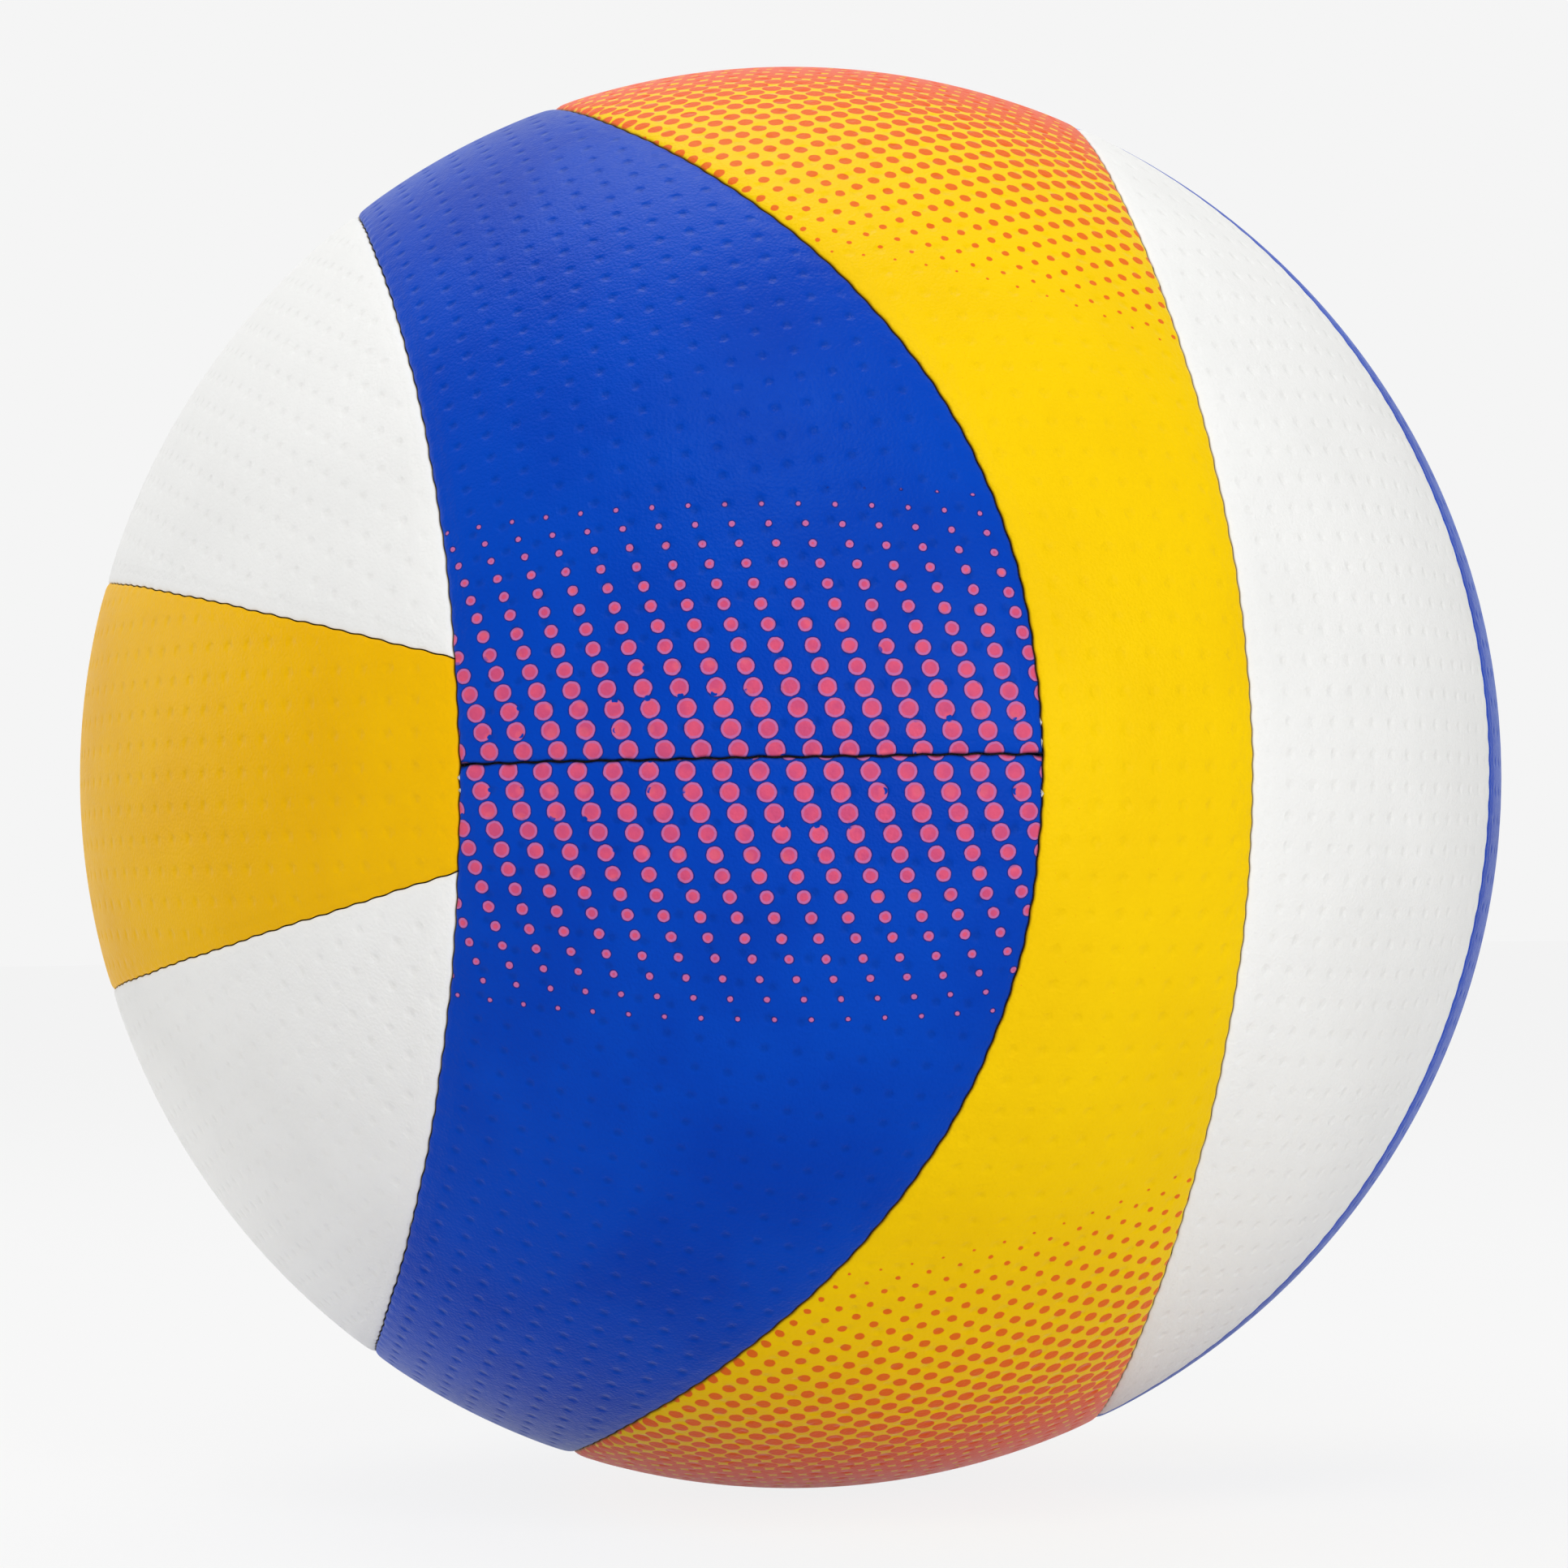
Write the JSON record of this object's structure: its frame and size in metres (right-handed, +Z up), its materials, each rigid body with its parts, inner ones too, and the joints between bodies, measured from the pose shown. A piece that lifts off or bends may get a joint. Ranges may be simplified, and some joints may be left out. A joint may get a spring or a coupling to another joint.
{
  "type": "volleyball",
  "caption": "Stitched soft-touch outdoor volleyball: interlocking foam-backed panels over cloth linings and a rubber bladder, with a needle valve.",
  "frame": {"origin": "centre of the ball", "axes": "+X out of the valve, through the blue middle strip of the right end cap; -Y towards the front, where the upper and lower blue panels meet; +Z up"},
  "size_m": [0.2131, 0.2132, 0.2132],
  "materials": {
    "cover_yellow": "satin",
    "cover_blue": "satin",
    "cover_white": "satin",
    "lining_cloth": "matte",
    "patch_cloth": "matte",
    "sewing_thread": "satin",
    "bladder_rubber": "matte",
    "valve_rubber": "matte",
    "plug_rubber": "matte"
  },
  "bodies": {
    "root": {"left_centre_panel": "cover_yellow", "left_upper_panel": "cover_white", "left_lower_panel": "cover_white", "upper_ring_panel": "cover_blue", "lower_ring_panel": "cover_blue", "right_centre_panel": "cover_blue", "right_front_panel": "cover_white", "right_rear_panel": "cover_white", "front_ring_panel": "cover_yellow", "rear_ring_panel": "cover_yellow", "left_centre_lining": "lining_cloth", "left_upper_lining": "lining_cloth", "left_lower_lining": "lining_cloth", "upper_ring_lining": "lining_cloth", "lower_ring_lining": "lining_cloth", "right_centre_lining": "lining_cloth", "right_front_lining": "lining_cloth", "right_rear_lining": "lining_cloth", "front_ring_lining": "lining_cloth", "rear_ring_lining": "lining_cloth", "left_cap_thread": "sewing_thread", "right_cap_thread": "sewing_thread", "middle_thread": "sewing_thread", "left_upper_thread": "sewing_thread", "left_lower_thread": "sewing_thread", "right_front_thread": "sewing_thread", "right_rear_thread": "sewing_thread", "front_ring_thread": "sewing_thread", "rear_ring_thread": "sewing_thread", "top_ring_thread": "sewing_thread", "bottom_ring_thread": "sewing_thread", "bladder": "bladder_rubber", "valve_housing": "valve_rubber", "valve_plug": "plug_rubber", "valve_patch": "patch_cloth"}
  },
  "joints": []
}
